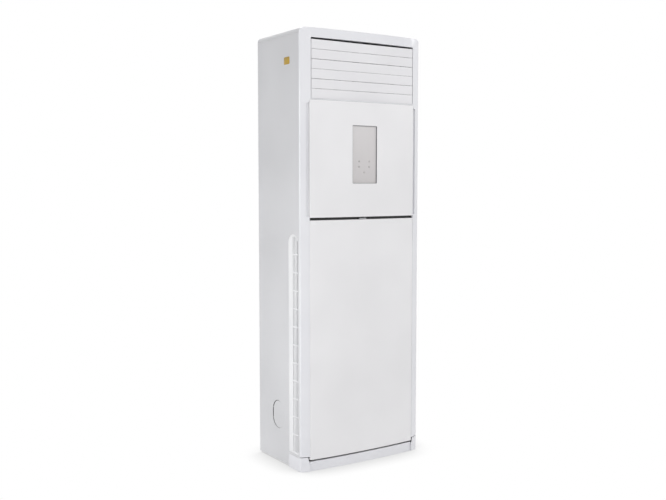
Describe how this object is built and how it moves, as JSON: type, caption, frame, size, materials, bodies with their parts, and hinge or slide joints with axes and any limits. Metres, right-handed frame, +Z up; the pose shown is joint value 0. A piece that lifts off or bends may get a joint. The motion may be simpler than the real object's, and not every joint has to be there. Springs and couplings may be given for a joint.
{
  "type": "floor standing air conditioner",
  "caption": "Tall white floor standing air conditioner cabinet: louvred outlet at the top, display window, tilting lower front panel, side intake grilles with filters.",
  "frame": {"origin": "middle of the footprint, on the floor", "axes": "+Z up, -Y to the front where the air comes out, -X to the unit's left as seen from the front"},
  "size_m": [0.586, 0.36, 1.75],
  "materials": {
    "front_moulding": "gloss white moulded ABS",
    "panel_moulding": "satin white moulded ABS",
    "painted_steel": "powder coated sheet steel, cool white",
    "window_lens": "silver grey printed acrylic",
    "keycap": "moulded, grey",
    "black_rail": "gloss black",
    "catch": "satin",
    "galvanised_steel": "galvanised sheet",
    "fin_aluminium": "thin fins",
    "copper": "drawn copper tube",
    "motor_can": "pressed steel can",
    "grey_plastic": "moulded, matte",
    "dark_plastic": "moulded, matte",
    "circuit_board": "solder resist",
    "filter_mesh": "woven mesh in a frame",
    "rubber": "moulded"
  },
  "bodies": {
    "cabinet": {"base_pan": "galvanised_steel", "foot_front_left": "rubber", "foot_front_right": "rubber", "foot_rear_left": "rubber", "foot_rear_right": "rubber", "plinth": "front_moulding", "left_side_panel": "painted_steel", "right_side_panel": "painted_steel", "pipe_knockout": "painted_steel", "back_panel": "painted_steel", "top_cover": "painted_steel", "front_frame": "front_moulding", "upper_display_panel": "panel_moulding", "display_window": "window_lens", "display_board": "circuit_board", "mid_rail": "black_rail", "outlet_liner": "dark_plastic", "louvre_motor": "motor_can", "swing_motor": "motor_can", "partition_plate": "galvanised_steel", "duct_plate": "galvanised_steel", "coil_fins": "fin_aluminium", "tube_sheet_left": "copper", "tube_sheet_right": "copper", "drain_pan": "grey_plastic", "gas_pipe": "copper", "liquid_pipe": "copper", "blower_housing": "galvanised_steel", "inlet_plate": "galvanised_steel", "motor_bracket": "galvanised_steel", "blower_motor": "motor_can", "electrical_box": "galvanised_steel", "electrical_box_lid": "galvanised_steel", "control_board": "circuit_board"},
    "blade_1": {"louvre_blade_1": "panel_moulding"},
    "blade_2": {"louvre_blade_2": "panel_moulding"},
    "blade_3": {"louvre_blade_3": "panel_moulding"},
    "blade_4": {"louvre_blade_4": "panel_moulding"},
    "blade_5": {"louvre_blade_5": "panel_moulding"},
    "blade_6": {"louvre_blade_6": "panel_moulding"},
    "blade_link": {"blade_link": "grey_plastic"},
    "vane_1": {"upright_vane_1": "grey_plastic"},
    "vane_2": {"upright_vane_2": "grey_plastic"},
    "vane_3": {"upright_vane_3": "grey_plastic"},
    "vane_4": {"upright_vane_4": "grey_plastic"},
    "vane_5": {"upright_vane_5": "grey_plastic"},
    "vane_link": {"vane_link": "grey_plastic"},
    "fan": {"blower_wheel": "dark_plastic"},
    "lower_panel": {"lower_front_panel": "panel_moulding"},
    "catch": {"panel_catch": "catch"},
    "left_intake": {"intake_grille_left": "front_moulding", "filter_left": "filter_mesh"},
    "right_intake": {"intake_grille_right": "front_moulding", "filter_right": "filter_mesh"},
    "key_mode": {"key_mode": "keycap"},
    "key_fan": {"key_fan": "keycap"},
    "key_up": {"key_up": "keycap"},
    "key_down": {"key_down": "keycap"},
    "key_power": {"key_power": "keycap"}
  },
  "joints": [
    {"name": "blade_1_tilt", "type": "hinge", "parent": "cabinet", "child": "blade_1", "pos_m": [0, -0.16, 1.498], "axis": [-1, 0, 0], "range_deg": [0, 80]},
    {"name": "blade_2_tilt", "type": "hinge", "parent": "cabinet", "child": "blade_2", "pos_m": [0, -0.16, 1.536], "axis": [-1, 0, 0], "range_deg": [0, 80]},
    {"name": "blade_3_tilt", "type": "hinge", "parent": "cabinet", "child": "blade_3", "pos_m": [0, -0.16, 1.574], "axis": [-1, 0, 0], "range_deg": [0, 80]},
    {"name": "blade_4_tilt", "type": "hinge", "parent": "cabinet", "child": "blade_4", "pos_m": [0, -0.16, 1.612], "axis": [-1, 0, 0], "range_deg": [0, 80]},
    {"name": "blade_5_tilt", "type": "hinge", "parent": "cabinet", "child": "blade_5", "pos_m": [0, -0.16, 1.65], "axis": [-1, 0, 0], "range_deg": [0, 80]},
    {"name": "blade_6_tilt", "type": "hinge", "parent": "cabinet", "child": "blade_6", "pos_m": [0, -0.16, 1.688], "axis": [-1, 0, 0], "range_deg": [0, 80]},
    {"name": "blade_link_pivot", "type": "hinge", "parent": "blade_1", "child": "blade_link", "pos_m": [0.2585, -0.151, 1.498], "axis": [-1, 0, 0], "range_deg": [-80, 0]},
    {"name": "vane_1_swing", "type": "hinge", "parent": "cabinet", "child": "vane_1", "pos_m": [-0.18, -0.112, 1.6], "axis": [0, 0, 1], "range_deg": [-35, 35]},
    {"name": "vane_2_swing", "type": "hinge", "parent": "cabinet", "child": "vane_2", "pos_m": [-0.09, -0.112, 1.6], "axis": [0, 0, 1], "range_deg": [-35, 35]},
    {"name": "vane_3_swing", "type": "hinge", "parent": "cabinet", "child": "vane_3", "pos_m": [0, -0.112, 1.6], "axis": [0, 0, 1], "range_deg": [-35, 35]},
    {"name": "vane_4_swing", "type": "hinge", "parent": "cabinet", "child": "vane_4", "pos_m": [0.09, -0.112, 1.6], "axis": [0, 0, 1], "range_deg": [-35, 35]},
    {"name": "vane_5_swing", "type": "hinge", "parent": "cabinet", "child": "vane_5", "pos_m": [0.18, -0.112, 1.6], "axis": [0, 0, 1], "range_deg": [-35, 35]},
    {"name": "vane_link_pivot", "type": "hinge", "parent": "vane_1", "child": "vane_link", "pos_m": [-0.18, -0.093, 1.486], "axis": [0, 0, 1], "range_deg": [-35, 35]},
    {"name": "fan_spin", "type": "hinge", "parent": "cabinet", "child": "fan", "pos_m": [0, 0.03, 0.33], "axis": [0, 1, 0], "continuous": true},
    {"name": "lower_panel_tilt", "type": "hinge", "parent": "cabinet", "child": "lower_panel", "pos_m": [0, -0.163, 0.051], "axis": [1, 0, 0], "range_deg": [0, 25]},
    {"name": "catch_lift", "type": "slide", "parent": "cabinet", "child": "catch", "axis": [0, 0, 1], "range_m": [0, 0.0035], "stiffness_N_per_m": 300},
    {"name": "left_intake_pull", "type": "slide", "parent": "cabinet", "child": "left_intake", "axis": [-1, 0, 0], "range_m": [0, 0.03]},
    {"name": "right_intake_pull", "type": "slide", "parent": "cabinet", "child": "right_intake", "axis": [1, 0, 0], "range_m": [0, 0.03]},
    {"name": "key_mode_press", "type": "slide", "parent": "cabinet", "child": "key_mode", "axis": [0, 1, 0], "range_m": [0, 0.001], "stiffness_N_per_m": 400},
    {"name": "key_fan_press", "type": "slide", "parent": "cabinet", "child": "key_fan", "axis": [0, 1, 0], "range_m": [0, 0.001], "stiffness_N_per_m": 400},
    {"name": "key_up_press", "type": "slide", "parent": "cabinet", "child": "key_up", "axis": [0, 1, 0], "range_m": [0, 0.001], "stiffness_N_per_m": 400},
    {"name": "key_down_press", "type": "slide", "parent": "cabinet", "child": "key_down", "axis": [0, 1, 0], "range_m": [0, 0.001], "stiffness_N_per_m": 400},
    {"name": "key_power_press", "type": "slide", "parent": "cabinet", "child": "key_power", "axis": [0, 1, 0], "range_m": [0, 0.001], "stiffness_N_per_m": 400}
  ],
  "couplings": [
    {"joint": "blade_2_tilt", "follows": "blade_1_tilt", "ratio": 1},
    {"joint": "blade_3_tilt", "follows": "blade_1_tilt", "ratio": 1},
    {"joint": "blade_4_tilt", "follows": "blade_1_tilt", "ratio": 1},
    {"joint": "blade_5_tilt", "follows": "blade_1_tilt", "ratio": 1},
    {"joint": "blade_6_tilt", "follows": "blade_1_tilt", "ratio": 1},
    {"joint": "blade_link_pivot", "follows": "blade_1_tilt", "ratio": -1},
    {"joint": "vane_2_swing", "follows": "vane_1_swing", "ratio": 1},
    {"joint": "vane_3_swing", "follows": "vane_1_swing", "ratio": 1},
    {"joint": "vane_4_swing", "follows": "vane_1_swing", "ratio": 1},
    {"joint": "vane_5_swing", "follows": "vane_1_swing", "ratio": 1},
    {"joint": "vane_link_pivot", "follows": "vane_1_swing", "ratio": -1}
  ]
}
